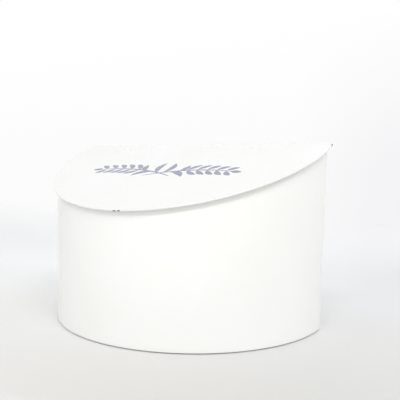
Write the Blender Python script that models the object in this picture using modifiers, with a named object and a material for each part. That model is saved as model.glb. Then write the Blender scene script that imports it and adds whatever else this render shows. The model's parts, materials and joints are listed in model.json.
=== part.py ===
"""Half-round enamelled steel bread bin with a sloping, hinged lid.

The bin stands on the XY plane with its flat back towards +Y. X runs left to right as seen from the front.
The origin lies on the table, under the middle of the box that holds the whole bin.
"""

import math

import bmesh
import bpy
from mathutils import Matrix, Vector

# Driving dimensions of the bin, in metres
BODY_WIDTH = 0.400
RIM_BACK_HEIGHT = 0.2511
LID_SLOPE = math.radians(23.3)
LID_OVERHANG = 0.0048
SHEET = 0.0006
GAP = 0.0003

# Upright corners and the two flanges that the wall turns onto the back
CORNER_RADIUS = 0.006
RETURN_WIDTH = 0.014
LID_CORNER_RADIUS = 0.005

# Rolled edges with a wire inside, on the wall and on the lid
WIRE_RADIUS = 0.0006
ROLL_TURN = math.radians(270)
ROLL_MIDDLE = WIRE_RADIUS + GAP + SHEET / 2
ROLL_OUTER = ROLL_MIDDLE + SHEET / 2
ROLL_LIP = 0.0002

# Foot of the wall, base pan and rubber feet
STANDING_GAP = 0.0012
FOOT_FLANGE = 0.005
FOOT_BEND = 0.0012
PAN_FLOOR = 0.009
PAN_BEND = 0.002
FOOT_RADIUS = 0.008
FOOT_EDGE = 0.001
STEM_RADIUS = 0.0025
STEM_HEAD_RADIUS = 0.0042
STEM_HEAD_HEIGHT = 0.002
FOOT_INSET = 0.032
FRONT_FEET_SHARE = 0.86
REAR_FEET_FROM_BACK = 0.030

# Back panel
HEM_DEPTH = 0.008
VENT_RADIUS = 0.0025
VENT_PITCH = 0.014
VENT_COUNT = 9
VENT_BELOW_RIM = 0.045

# Butt hinges
HINGE_PLACE_SHARE = 0.55
HINGE_WIDTH = 0.050
LEAF_LENGTH = 0.024
LEAF_THICKNESS = 0.0009
LEAF_CORNER = 0.004
PIN_RADIUS = 0.0012
PIN_HEAD_RADIUS = 0.0019
PIN_HEAD_HEIGHT = 0.0008
KNUCKLE_TURN = math.radians(300)
LID_KNUCKLE_SHARE = 0.4
KNUCKLE_PLAY = 0.0004
FOLD_DEPTH = 0.0037

# Rivets, and the plates that back them inside the bin
RIVET_RADIUS = 0.0012
RIVET_HEAD_RADIUS = 0.0029
RIVET_HEAD_HEIGHT = 0.0010
RIVET_TAIL_RADIUS = 0.0023
RIVET_TAIL_HEIGHT = 0.0008
RIVET_SPREAD_SHARE = 0.32
RIVET_UPPER_ROW = 0.0140
RIVET_LOWER_ROW = 0.0195
BACKING_THICKNESS = 0.0009
BACKING_EDGE = 0.0035

# Overrun of every cutter past what it cuts
OVERRUN = 0.002

# Roundness of the corners of plates and leaves, from a flat chamfer to a bulge
CORNER_PROFILE_SHARE = 0.5

# Steps round curved shapes
WALL_STEPS = 40
CORNER_STEPS = 4
ROLL_STEPS = 6
BEND_STEPS = 3
ROUND_STEPS = 20
RIVET_STEPS = 12

# Places worked out from the sizes above
BORE_RADIUS = PIN_RADIUS + GAP
KNUCKLE_RADIUS = BORE_RADIUS + LEAF_THICKNESS
COS_SLOPE = math.cos(LID_SLOPE)
SIN_SLOPE = math.sin(LID_SLOPE)
AXIS_SETBACK = GAP + SHEET + GAP + KNUCKLE_RADIUS
LID_UNDERSIDE = KNUCKLE_RADIUS + GAP
FOLD_TIP = LID_UNDERSIDE - FOLD_DEPTH
FRONT_REACH = BODY_WIDTH / 2 + LID_OVERHANG
REAR_REACH = AXIS_SETBACK + (LID_UNDERSIDE + SHEET) * COS_SLOPE - FOLD_TIP * SIN_SLOPE
BACK_Y = (FRONT_REACH - REAR_REACH) / 2
AXIS_Y = BACK_Y + AXIS_SETBACK
AXIS_Z = RIM_BACK_HEIGHT - (LID_UNDERSIDE - AXIS_SETBACK * SIN_SLOPE) / COS_SLOPE
PANEL_OUTER_Y = BACK_Y + GAP + SHEET
HINGE_X = BODY_WIDTH / 2 * HINGE_PLACE_SHARE
RIVET_HOLE_RADIUS = RIVET_RADIUS + GAP
RIVET_SPREAD = HINGE_WIDTH * RIVET_SPREAD_SHARE
RIVET_PLACES = (
    (-RIVET_SPREAD, RIVET_UPPER_ROW),
    (RIVET_SPREAD, RIVET_UPPER_ROW),
    (0, RIVET_LOWER_ROW),
)


def clear_scene():
    """Empty the file, so that the bin is all it holds."""
    for obj in list(bpy.data.objects):
        bpy.data.objects.remove(obj, do_unlink=True)


def add_collection(name):
    """Make a collection under the scene's own."""
    collection = bpy.data.collections.new(name)
    bpy.context.scene.collection.children.link(collection)
    return collection


def add_material(name, colour, roughness, metallic):
    """Make a Principled material of one finish."""
    material = bpy.data.materials.new(name)
    material.use_nodes = True
    shader = material.node_tree.nodes["Principled BSDF"]
    shader.inputs["Base Color"].default_value = (*colour, 1)
    shader.inputs["Roughness"].default_value = roughness
    shader.inputs["Metallic"].default_value = metallic
    material.diffuse_color = (*colour, 1)
    return material


def add_object(name, mesh, collection, material=None, parent=None):
    """Put a mesh in the scene as a named object, shaded smooth up to its hard edges."""
    obj = bpy.data.objects.new(name, mesh)
    collection.objects.link(obj)
    if material:
        mesh.materials.append(material)
    if parent:
        obj.parent = parent
    mesh.shade_smooth()
    mesh.set_sharp_from_angle(angle=math.radians(35))
    return obj


def mesh_from(bm, name):
    """Turn an edited mesh into a stored one."""
    mesh = bpy.data.meshes.new(name)
    bm.to_mesh(mesh)
    bm.free()
    return mesh


def evaluated_mesh(obj, name):
    """Copy an object's mesh as its modifiers leave it, and remove the object."""
    graph = bpy.context.evaluated_depsgraph_get()
    mesh = bpy.data.meshes.new_from_object(obj.evaluated_get(graph))
    mesh.name = name
    bpy.data.objects.remove(obj, do_unlink=True)
    return mesh


def turn(centre, radius, start, end, steps):
    """Points on an arc in plan, each with its outward direction, both ends included."""
    stations = []
    for step in range(steps + 1):
        angle = start + (end - start) * step / steps
        outward = Vector((math.cos(angle), math.sin(angle)))
        stations.append((centre + outward * radius, outward))
    return stations


def body_outline():
    """The wall's outline in plan, from the right rear corner round the front to the left rear corner."""
    radius = BODY_WIDTH / 2
    centre = Vector((0, BACK_Y))
    meet = math.asin(CORNER_RADIUS / (radius - CORNER_RADIUS))
    corner_x = (radius - CORNER_RADIUS) * math.cos(meet)
    right = Vector((corner_x, BACK_Y - CORNER_RADIUS))
    left = Vector((-corner_x, BACK_Y - CORNER_RADIUS))
    stations = turn(right, CORNER_RADIUS, math.pi / 2, -meet, CORNER_STEPS)
    stations += turn(centre, radius, -meet, meet - math.pi, WALL_STEPS)[1:]
    stations += turn(left, CORNER_RADIUS, meet - math.pi, -1.5 * math.pi, CORNER_STEPS)[1:]
    return stations


def wall_outline():
    """The body outline with the two flanges that turn onto the back."""
    stations = body_outline()
    first, outward = stations[0]
    last = stations[-1][0]
    right_end = (first - Vector((RETURN_WIDTH, 0)), outward)
    left_end = (last + Vector((RETURN_WIDTH, 0)), outward)
    return [right_end, *stations, left_end]


def underside_height(y):
    """Height of the closed lid's underside over a place in plan."""
    return RIM_BACK_HEIGHT + (y - BACK_Y) * SIN_SLOPE / COS_SLOPE


def sheet_piece(name, rows, collection, material, closed=False, parent=None):
    """A piece of sheet metal: rows of points on its middle surface, given the sheet's thickness.

    A closed piece joins its last row to its first and is filled across the first point of every row.
    """
    bm = bmesh.new()
    grid = [[bm.verts.new(point) for point in row] for row in rows]
    pairs = list(zip(grid, grid[1:]))
    if closed:
        pairs.append((grid[-1], grid[0]))
        bm.faces.new([row[0] for row in grid])
    for row, following in pairs:
        for low in range(len(row) - 1):
            bm.faces.new((row[low], row[low + 1], following[low + 1], following[low]))
    bmesh.ops.recalc_face_normals(bm, faces=bm.faces)
    obj = add_object(name, mesh_from(bm, name), collection, material, parent)
    solidify = obj.modifiers.new("sheet thickness", "SOLIDIFY")
    solidify.thickness = SHEET
    solidify.offset = 0
    solidify.use_even_offset = True
    return obj


def wire_piece(name, points, collection, material, parent=None):
    """A length of round wire through the given points, with filled ends."""
    curve = bpy.data.curves.new(name, "CURVE")
    curve.dimensions = "3D"
    curve.bevel_depth = WIRE_RADIUS
    curve.bevel_resolution = 1
    curve.use_fill_caps = True
    spline = curve.splines.new("POLY")
    spline.points.add(len(points) - 1)
    for knot, point in zip(spline.points, points):
        knot.co = (*point, 1)
    guide = bpy.data.objects.new(name + " guide", curve)
    collection.objects.link(guide)
    mesh = evaluated_mesh(guide, name)
    bm = bmesh.new()
    bm.from_mesh(mesh)
    bmesh.ops.remove_doubles(bm, verts=bm.verts, dist=WIRE_RADIUS / 10)
    bmesh.ops.recalc_face_normals(bm, faces=bm.faces)
    bm.to_mesh(mesh)
    bm.free()
    return add_object(name, mesh, collection, material, parent)


def turned_mesh(name, profile, steps, collection):
    """A solid turned about Z from a profile of (radius, height) pairs, given from top to bottom."""
    mesh = bpy.data.meshes.new(name)
    points = [(radius, 0, height) for radius, height in profile]
    edges = [(low, low + 1) for low in range(len(points) - 1)]
    mesh.from_pydata(points, edges, [])
    guide = bpy.data.objects.new(name + " guide", mesh)
    collection.objects.link(guide)
    screw = guide.modifiers.new("turn", "SCREW")
    screw.angle = 2 * math.pi
    screw.steps = steps
    screw.render_steps = steps
    screw.use_merge_vertices = True
    screw.merge_threshold = 0.00001
    return evaluated_mesh(guide, name)


def cylinder_cutter(name, radius, length, places, cutters, parent=None):
    """Round cutters along each place's own Z axis, one for each place."""
    bm = bmesh.new()
    for place in places:
        bmesh.ops.create_cone(
            bm,
            cap_ends=True,
            segments=ROUND_STEPS,
            radius1=radius,
            radius2=radius,
            depth=length,
            matrix=place,
        )
    cutter = add_object(name, mesh_from(bm, name), cutters, parent=parent)
    hide_cutter(cutter)
    return cutter


def box_mesh(name, low, high):
    """A box between two corners."""
    low = Vector(low)
    high = Vector(high)
    bm = bmesh.new()
    middle = Matrix.Translation((low + high) / 2)
    bmesh.ops.create_cube(bm, size=1, matrix=middle @ Matrix.Diagonal((*(high - low), 1)))
    return mesh_from(bm, name)


def hide_cutter(cutter):
    """Keep a cutter out of the finished object."""
    cutter.hide_render = True
    cutter.display_type = "WIRE"


def cut(obj, cutter):
    """Cut one object with another."""
    boolean = obj.modifiers.new("cut by " + cutter.name, "BOOLEAN")
    boolean.operation = "DIFFERENCE"
    boolean.object = cutter


def round_corners(bm, radius, is_corner):
    """Round the straight edges that the given test picks out."""
    edges = [edge for edge in bm.edges if is_corner(edge)]
    bmesh.ops.bevel(
        bm,
        geom=edges,
        offset=radius,
        segments=BEND_STEPS,
        profile=CORNER_PROFILE_SHARE,
        affect="EDGES",
    )


def make_front_wall(parts, enamel):
    """The half-round wall: a foot flange turned in, a plain upright face and a rim rolled inwards."""
    low_bend = Vector((-SHEET / 2 - FOOT_BEND, STANDING_GAP + SHEET / 2 + FOOT_BEND))
    foot = [point for point, _ in turn(low_bend, FOOT_BEND, -math.pi / 2, 0, BEND_STEPS)]
    foot.insert(0, Vector((-FOOT_FLANGE, STANDING_GAP + SHEET / 2)))
    rows = []
    for place, outward in wall_outline():
        roll_place = place - outward * (SHEET / 2 + ROLL_MIDDLE)
        roll_height = underside_height(roll_place.y) - (ROLL_OUTER + GAP) / COS_SLOPE
        roll = Vector((-SHEET / 2 - ROLL_MIDDLE, roll_height))
        rim = [point for point, _ in turn(roll, ROLL_MIDDLE, 0, ROLL_TURN, ROLL_STEPS)]
        row = []
        for offset, height in foot + rim:
            row.append((*(place + outward * offset), height))
        rows.append(row)
    return sheet_piece("front_wall", rows, parts, enamel)


def make_wall_rim_wire(parts, steel):
    """The wire that stiffens the wall's rolled rim."""
    points = []
    for place, outward in wall_outline():
        middle = place - outward * (SHEET / 2 + ROLL_MIDDLE)
        height = underside_height(middle.y) - (ROLL_OUTER + GAP) / COS_SLOPE
        points.append((*middle, height))
    return wire_piece("wall_rim_wire", points, parts, steel)


def hem_bend():
    """Centre of the back panel's folded top edge, in Y and Z, and the bend's middle radius."""
    radius = (SHEET + GAP) / 2
    setback = AXIS_SETBACK - GAP - SHEET / 2 + radius
    level = KNUCKLE_RADIUS - LEAF_THICKNESS - GAP - radius - SHEET / 2
    height = AXIS_Z + (level - setback * SIN_SLOPE) / COS_SLOPE
    return Vector((AXIS_Y - setback, height)), radius


def make_back_panel(parts, cutters, enamel):
    """The flat back: it laps the wall's rear flanges, and its top edge is hemmed inwards."""
    half_width = body_outline()[0][0].x
    bend, radius = hem_bend()
    section = [Vector((bend.x + radius, STANDING_GAP))]
    section += [point for point, _ in turn(bend, radius, 0, math.pi, BEND_STEPS * 2)]
    section.append(section[-1] - Vector((0, HEM_DEPTH)))
    rows = [[(x, y, z) for y, z in section] for x in (-half_width, half_width)]
    panel = sheet_piece("back_panel", rows, parts, enamel)

    hem_end = half_width - RETURN_WIDTH - GAP
    for side in (-1, 1):
        inner, outer = sorted((side * hem_end, side * (half_width + OVERRUN)))
        low = (inner, BACK_Y - SHEET - OVERRUN, bend.y - HEM_DEPTH - OVERRUN)
        high = (outer, BACK_Y + GAP / 2, bend.y + radius + OVERRUN)
        name = "hem_end_cutter_left" if side < 0 else "hem_end_cutter_right"
        cutter = add_object(name, box_mesh(name, low, high), cutters)
        hide_cutter(cutter)
        cut(panel, cutter)

    vents = []
    for index in range(VENT_COUNT):
        x = (index - (VENT_COUNT - 1) / 2) * VENT_PITCH
        vents.append(along_y(x, PANEL_OUTER_Y, RIM_BACK_HEIGHT - VENT_BELOW_RIM))
    cut(panel, cylinder_cutter("vent_cutter", VENT_RADIUS, OVERRUN * 2, vents, cutters))
    cut(panel, cylinder_cutter("panel_rivet_cutter", RIVET_HOLE_RADIUS, OVERRUN * 2, back_rivets(), cutters))
    return panel


def along_y(x, y, z):
    """A place whose own Z axis points along the world's +Y."""
    return Matrix.Translation((x, y, z)) @ Matrix.Rotation(-math.pi / 2, 4, "X")


def back_rivets():
    """Places of the rivets of both hinges in the back panel."""
    places = []
    for side in (-1, 1):
        for across, down in RIVET_PLACES:
            places.append(along_y(side * HINGE_X + across, PANEL_OUTER_Y, AXIS_Z - down))
    return places


def make_base_pan(parts, cutters, enamel):
    """The bottom: a flat floor with a turned-down edge that stands on the wall's foot flange."""
    inset = SHEET + GAP + SHEET / 2
    bend_height = PAN_FLOOR - SHEET / 2 - PAN_BEND
    bend = Vector((-PAN_BEND, bend_height))
    section = [point for point, _ in turn(bend, PAN_BEND, math.pi / 2, 0, BEND_STEPS)]
    section.append(Vector((0, STANDING_GAP + SHEET + GAP)))
    rows = []
    for place, outward in body_outline():
        rows.append([(*(place + outward * (offset - inset)), height) for offset, height in section])
    pan = sheet_piece("base_pan", rows, parts, enamel, closed=True)
    stems = [Matrix.Translation((x, y, PAN_FLOOR)) for x, y in foot_places().values()]
    cut(pan, cylinder_cutter("stem_cutter", STEM_RADIUS + GAP, OVERRUN * 2, stems, cutters))
    return pan


def foot_places():
    """Where the four feet stand, by name: all at one distance in from the wall."""
    reach = BODY_WIDTH / 2 - FOOT_INSET
    front_from_back = reach * FRONT_FEET_SHARE
    front_x = math.sqrt(reach**2 - front_from_back**2)
    rear_x = math.sqrt(reach**2 - REAR_FEET_FROM_BACK**2)
    front_y = BACK_Y - front_from_back
    rear_y = BACK_Y - REAR_FEET_FROM_BACK
    return {
        "foot_front_left": (-front_x, front_y),
        "foot_front_right": (front_x, front_y),
        "foot_rear_left": (-rear_x, rear_y),
        "foot_rear_right": (rear_x, rear_y),
    }


def make_feet(parts, rubber):
    """Push-in rubber feet: a round pad, a stem through the pan and a head that holds it there."""
    pan_under = PAN_FLOOR - SHEET - GAP
    head_low = PAN_FLOOR + GAP
    profile = [
        (0, head_low + STEM_HEAD_HEIGHT),
        (STEM_RADIUS, head_low + STEM_HEAD_HEIGHT),
        (STEM_HEAD_RADIUS, head_low),
        (STEM_RADIUS, head_low),
        (STEM_RADIUS, pan_under),
        (FOOT_RADIUS - FOOT_EDGE, pan_under),
        (FOOT_RADIUS, pan_under - FOOT_EDGE),
        (FOOT_RADIUS, FOOT_EDGE),
        (FOOT_RADIUS - FOOT_EDGE, 0),
        (0, 0),
    ]
    mesh = turned_mesh("foot", profile, ROUND_STEPS, parts)
    for name, (x, y) in foot_places().items():
        foot = add_object(name, mesh.copy(), parts, rubber)
        foot.location = (x, y, 0)


def lid_outline():
    """The path of the lid's rolled edge in the lid's own plane, from the right side round the front.

    Each station has its point, its outward direction, how far the edge is rolled and how long a straight
    lip follows the roll. The roll opens out at the rear corners into the plain fold along the back.
    """
    level = LID_UNDERSIDE + SHEET - ROLL_OUTER
    back_line = LID_UNDERSIDE + SHEET - ROLL_OUTER
    across = BODY_WIDTH / 2 + LID_OVERHANG - ROLL_OUTER
    along = across / COS_SLOPE
    middle = (level * SIN_SLOPE - AXIS_SETBACK) / COS_SLOPE
    stations = []
    for step in range(WALL_STEPS + 1):
        angle = math.pi * step / WALL_STEPS
        point = Vector((across * math.cos(angle), middle - along * math.sin(angle)))
        outward = Vector((along * math.cos(angle), -across * math.sin(angle))).normalized()
        stations.append((point, outward, ROLL_TURN, ROLL_LIP))
    radius = LID_CORNER_RADIUS - ROLL_OUTER
    fold_lip = level - FOLD_TIP
    left = Vector((radius - across, back_line - radius))
    right = Vector((across - radius, back_line - radius))
    for centre, start, end, opening in (
        (left, math.pi, math.pi / 2, 1),
        (right, math.pi / 2, 0, -1),
    ):
        for step, (point, outward) in enumerate(turn(centre, radius, start, end, CORNER_STEPS)):
            share = step / CORNER_STEPS if opening > 0 else 1 - step / CORNER_STEPS
            rolled = ROLL_TURN + (math.pi / 2 - ROLL_TURN) * share
            lip = ROLL_LIP + (fold_lip - ROLL_LIP) * share
            stations.append((point, outward, rolled, lip))
    return stations


def make_lid_panel(parts, cutters, enamel, axis):
    """The lid: one flat sheet, its curved edge rolled under and its straight back edge folded down."""
    level = LID_UNDERSIDE + SHEET - ROLL_OUTER
    rows = []
    for place, outward, rolled, lip in lid_outline():
        row = []
        for step in range(ROLL_STEPS + 1):
            angle = math.pi / 2 - rolled * step / ROLL_STEPS
            offset = ROLL_MIDDLE * math.cos(angle)
            row.append((*(place + outward * offset), level + ROLL_MIDDLE * math.sin(angle)))
        end = math.pi / 2 - rolled
        offset = ROLL_MIDDLE * math.cos(end) + lip * math.sin(end)
        drop = ROLL_MIDDLE * math.sin(end) - lip * math.cos(end)
        row.append((*(place + outward * offset), level + drop))
        rows.append(row)
    lid = sheet_piece("lid_panel", rows, parts, enamel, closed=True, parent=axis)
    holes = [Matrix.Translation((x, -y, LID_UNDERSIDE)) for x, y in lid_rivet_places()]
    cut(lid, cylinder_cutter("lid_rivet_cutter", RIVET_HOLE_RADIUS, OVERRUN * 2, holes, cutters, axis))
    return lid


def lid_rivet_places():
    """Rivets of both hinges in the lid, as distances across and in front of the hinge axis."""
    places = []
    for side in (-1, 1):
        for across, down in RIVET_PLACES:
            places.append((side * HINGE_X + across, down))
    return places


def make_lid_rim_wire(parts, steel, axis):
    """The wire inside the lid's rolled edge, from one rear corner round the front to the other."""
    level = LID_UNDERSIDE + SHEET - ROLL_OUTER
    stations = lid_outline()
    rolled_stations = [station for station in [stations[-1], *stations[:-1]] if station[2] == ROLL_TURN]
    points = [(*place, level) for place, _, _, _ in rolled_stations]
    return wire_piece("lid_rim_wire", points, parts, steel, parent=axis)


def leaf_mesh(name):
    """A hinge leaf as wide as the hinge: it hangs along -Z, and its upper edge is rolled round the pin."""
    pin_middle = Vector((0, 0))
    rolled_end = math.pi - KNUCKLE_TURN
    outer_roll = turn(pin_middle, KNUCKLE_RADIUS, math.pi, rolled_end, ROUND_STEPS)
    bore_roll = turn(pin_middle, BORE_RADIUS, rolled_end, math.pi, ROUND_STEPS)
    outline = [Vector((-KNUCKLE_RADIUS, -LEAF_LENGTH))]
    outline += [point for point, _ in outer_roll + bore_roll]
    outline.append(Vector((-BORE_RADIUS, -LEAF_LENGTH)))
    curve = bpy.data.curves.new(name, "CURVE")
    curve.dimensions = "2D"
    curve.fill_mode = "BOTH"
    curve.extrude = HINGE_WIDTH / 2
    spline = curve.splines.new("POLY")
    spline.points.add(len(outline) - 1)
    for knot, point in zip(spline.points, outline):
        knot.co = (*point, 0, 1)
    spline.use_cyclic_u = True
    guide = bpy.data.objects.new(name + " guide", curve)
    bpy.context.scene.collection.objects.link(guide)
    mesh = evaluated_mesh(guide, name)
    bm = bmesh.new()
    bm.from_mesh(mesh)
    bmesh.ops.remove_doubles(bm, verts=bm.verts, dist=GAP / 10)
    upright = Matrix(((0, 0, 1, 0), (1, 0, 0, 0), (0, 1, 0, 0), (0, 0, 0, 1)))
    bmesh.ops.transform(bm, matrix=upright, verts=bm.verts)
    low_end = -LEAF_LENGTH + GAP

    def at_low_corner(edge):
        first, second = (vert.co for vert in edge.verts)
        return first.z < low_end and second.z < low_end and abs(first.y - second.y) > GAP

    round_corners(bm, LEAF_CORNER, at_low_corner)
    bmesh.ops.recalc_face_normals(bm, faces=bm.faces)
    bm.to_mesh(mesh)
    bm.free()
    return mesh


def along_x(x):
    """A place on the hinge axis whose own Z axis points along the hinge."""
    return Matrix.Translation((x, 0, 0)) @ Matrix.Rotation(math.pi / 2, 4, "Y")


def make_leaf(name, clear_ranges, holder, parts, cutters, steel):
    """A hinge leaf with its rivet holes and room for the other leaf's knuckles."""
    leaf = add_object(name, leaf_mesh(name), parts, steel, holder)
    for index, (low, high) in enumerate(clear_ranges):
        label = f"{name}_clearance_{index}"
        room = [along_x((low + high) / 2)]
        cut(leaf, cylinder_cutter(label, KNUCKLE_RADIUS + GAP, high - low, room, cutters, holder))
    leaf_middle = LEAF_THICKNESS / 2 - KNUCKLE_RADIUS
    holes = [along_y(across, leaf_middle, -down) for across, down in RIVET_PLACES]
    cut(leaf, cylinder_cutter(name + "_holes", RIVET_HOLE_RADIUS, OVERRUN, holes, cutters, holder))
    return leaf


def rivet_mesh(name, grip, collection):
    """A solid rivet along Z: its domed head stands at z = 0 and its tail is closed a grip's length below."""
    low = -grip - 2 * GAP
    dome_share = 0.6
    profile = [
        (0, RIVET_HEAD_HEIGHT),
        (RIVET_HEAD_RADIUS * dome_share, RIVET_HEAD_HEIGHT * (1 + dome_share) / 2),
        (RIVET_HEAD_RADIUS, 0),
        (RIVET_RADIUS, 0),
        (RIVET_RADIUS, low),
        (RIVET_TAIL_RADIUS, low),
        (RIVET_TAIL_RADIUS * (1 + dome_share) / 2, low - RIVET_TAIL_HEIGHT),
        (0, low - RIVET_TAIL_HEIGHT),
    ]
    return turned_mesh(name, profile, RIVET_STEPS, collection)


def make_pin(name, holder, parts, steel):
    """The hinge pin, with a head closed on each end."""
    knuckle_end = HINGE_WIDTH / 2 + GAP
    profile = [
        (0, knuckle_end + PIN_HEAD_HEIGHT),
        (PIN_RADIUS, knuckle_end + PIN_HEAD_HEIGHT),
        (PIN_HEAD_RADIUS, knuckle_end),
        (PIN_RADIUS, knuckle_end),
        (PIN_RADIUS, -knuckle_end),
        (PIN_HEAD_RADIUS, -knuckle_end),
        (PIN_RADIUS, -knuckle_end - PIN_HEAD_HEIGHT),
        (0, -knuckle_end - PIN_HEAD_HEIGHT),
    ]
    mesh = turned_mesh(name, profile, ROUND_STEPS, parts)
    pin = add_object(name, mesh, parts, steel, holder)
    pin.rotation_euler = (0, math.pi / 2, 0)
    return pin


def make_backing_plate(name, x, parts, cutters, steel):
    """A plate inside the back panel that spreads the load of one hinge's rivets."""
    high_z = hem_bend()[0].y - HEM_DEPTH - GAP
    low_z = AXIS_Z - RIVET_LOWER_ROW - BACKING_EDGE - RIVET_TAIL_RADIUS
    half_width = RIVET_SPREAD + BACKING_EDGE + RIVET_TAIL_RADIUS
    high_y = PANEL_OUTER_Y - SHEET - GAP
    low = (x - half_width, high_y - BACKING_THICKNESS, low_z)
    mesh = box_mesh(name, low, (x + half_width, high_y, high_z))
    bm = bmesh.new()
    bm.from_mesh(mesh)

    def is_corner(edge):
        first, second = (vert.co for vert in edge.verts)
        return abs(first.y - second.y) > GAP

    round_corners(bm, RIVET_TAIL_RADIUS, is_corner)
    bm.to_mesh(mesh)
    bm.free()
    plate = add_object(name, mesh, parts, steel)
    middle_y = high_y - BACKING_THICKNESS / 2
    holes = [along_y(x + across, middle_y, AXIS_Z - down) for across, down in RIVET_PLACES]
    cut(plate, cylinder_cutter(name + "_holes", RIVET_HOLE_RADIUS, OVERRUN, holes, cutters))
    return plate


def make_hinge(side, x, parts, cutters, plated, enamel, lid_axis):
    """One butt hinge with its pin, rivets and backing plate."""
    body_holder = bpy.data.objects.new(side + "_hinge_place", None)
    parts.objects.link(body_holder)
    body_holder.location = (x, AXIS_Y, AXIS_Z)
    lid_holder = bpy.data.objects.new(side + "_lid_leaf_place", None)
    parts.objects.link(lid_holder)
    lid_holder.parent = lid_axis
    lid_holder.location = (x, 0, 0)
    lid_holder.rotation_euler = (-math.pi / 2, 0, 0)

    half_lid = HINGE_WIDTH * LID_KNUCKLE_SHARE / 2
    end = HINGE_WIDTH / 2
    lid_room = [(-half_lid - KNUCKLE_PLAY, half_lid + KNUCKLE_PLAY)]
    body_room = [(-end - OVERRUN, -half_lid), (half_lid, end + OVERRUN)]
    make_leaf(side + "_body_leaf", lid_room, body_holder, parts, cutters, plated)
    make_leaf(side + "_lid_leaf", body_room, lid_holder, parts, cutters, plated)
    make_pin(side + "_hinge_pin", body_holder, parts, plated)
    make_backing_plate(side + "_backing_plate", x, parts, cutters, plated)

    body_grip = LEAF_THICKNESS + GAP + SHEET + GAP + BACKING_THICKNESS
    mesh = rivet_mesh(side + "_body_rivet", body_grip, parts)
    seat_y = AXIS_Y - KNUCKLE_RADIUS + LEAF_THICKNESS + GAP
    for number, (across, down) in enumerate(RIVET_PLACES, 1):
        rivet = add_object(f"{side}_body_rivet_{number}", mesh.copy(), parts, plated)
        rivet.location = (x + across, seat_y, AXIS_Z - down)
        rivet.rotation_euler = (-math.pi / 2, 0, 0)

    lid_grip = SHEET + GAP + LEAF_THICKNESS
    mesh = rivet_mesh(side + "_lid_rivet", lid_grip, parts)
    seat = LID_UNDERSIDE + SHEET + GAP
    for number, (across, down) in enumerate(RIVET_PLACES, 1):
        rivet = add_object(f"{side}_lid_rivet_{number}", mesh.copy(), parts, enamel, lid_axis)
        rivet.location = (x + across, -down, seat)


def main():
    """Build the bin with its lid closed."""
    clear_scene()
    parts = add_collection("bread_bin")
    cutters = add_collection("bread_bin_cutters")
    enamel = add_material("white_enamel", (0.90, 0.90, 0.88), 0.12, 0)
    wire = add_material("drawn_steel_wire", (0.45, 0.45, 0.44), 0.4, 1)
    plated = add_material("plated_steel", (0.66, 0.66, 0.64), 0.3, 1)
    rubber = add_material("grey_rubber", (0.35, 0.35, 0.35), 0.8, 0)

    lid_axis = bpy.data.objects.new("lid_axis", None)
    parts.objects.link(lid_axis)
    lid_axis.location = (0, AXIS_Y, AXIS_Z)
    lid_axis.rotation_euler = (LID_SLOPE, 0, 0)

    make_front_wall(parts, enamel)
    make_wall_rim_wire(parts, wire)
    make_back_panel(parts, cutters, enamel)
    make_base_pan(parts, cutters, enamel)
    make_feet(parts, rubber)
    make_lid_panel(parts, cutters, enamel, lid_axis)
    make_lid_rim_wire(parts, wire, lid_axis)
    for side, x in (("left", -HINGE_X), ("right", HINGE_X)):
        make_hinge(side, x, parts, cutters, plated, enamel, lid_axis)


main()
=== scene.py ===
# %% [markdown]
# # A half-round bread bin in white enamel
#
# The bin is pressed and rolled from thin steel sheet and coated with glass enamel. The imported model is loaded
# as a fixed frame, and each of its plain solids gets a finer piece with the same size and place. The sheets
# are worked out as grids of points with numpy, because a rolled edge is a short formula and would be slow to
# draw by hand.

import json
import math

import bmesh
import bpy
import numpy as np
from mathutils import Matrix, Vector

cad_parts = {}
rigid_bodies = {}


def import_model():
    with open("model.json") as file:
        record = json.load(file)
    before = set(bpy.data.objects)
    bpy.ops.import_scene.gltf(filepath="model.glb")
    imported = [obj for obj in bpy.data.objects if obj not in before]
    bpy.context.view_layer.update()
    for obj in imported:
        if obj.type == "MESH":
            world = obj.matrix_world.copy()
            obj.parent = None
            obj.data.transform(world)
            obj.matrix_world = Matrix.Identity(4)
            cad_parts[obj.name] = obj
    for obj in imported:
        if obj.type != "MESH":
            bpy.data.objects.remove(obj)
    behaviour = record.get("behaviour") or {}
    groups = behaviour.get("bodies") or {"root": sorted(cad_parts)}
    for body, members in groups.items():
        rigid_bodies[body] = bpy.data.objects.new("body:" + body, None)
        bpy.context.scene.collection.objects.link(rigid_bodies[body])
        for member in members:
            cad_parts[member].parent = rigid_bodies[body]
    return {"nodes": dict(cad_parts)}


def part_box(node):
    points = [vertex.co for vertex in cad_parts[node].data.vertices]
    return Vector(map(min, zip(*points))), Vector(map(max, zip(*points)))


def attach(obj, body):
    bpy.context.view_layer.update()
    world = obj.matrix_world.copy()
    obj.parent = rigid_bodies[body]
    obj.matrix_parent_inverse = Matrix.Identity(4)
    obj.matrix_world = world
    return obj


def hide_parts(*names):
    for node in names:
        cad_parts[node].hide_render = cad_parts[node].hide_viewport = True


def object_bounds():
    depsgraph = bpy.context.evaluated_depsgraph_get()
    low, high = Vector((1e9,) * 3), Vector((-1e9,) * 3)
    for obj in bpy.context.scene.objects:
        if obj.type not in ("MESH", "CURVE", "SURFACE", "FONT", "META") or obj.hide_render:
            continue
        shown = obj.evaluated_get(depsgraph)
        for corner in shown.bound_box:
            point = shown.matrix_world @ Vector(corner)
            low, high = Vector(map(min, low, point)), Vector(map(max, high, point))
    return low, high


for leftover in list(bpy.data.objects):
    bpy.data.objects.remove(leftover)
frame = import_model()
cad_low, cad_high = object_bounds()
print("frame:", len(frame["nodes"]), "nodes,", [round(side, 4) for side in cad_high - cad_low], "m")

# %% [markdown]
# ## Sizes
#
# The same sizes as in the solids, in metres. Every sheet is 0.6 mm thick, and neighbours stay 0.3 mm apart.
# The places of the hinge axis and of the lid's plane follow from them.

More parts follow.
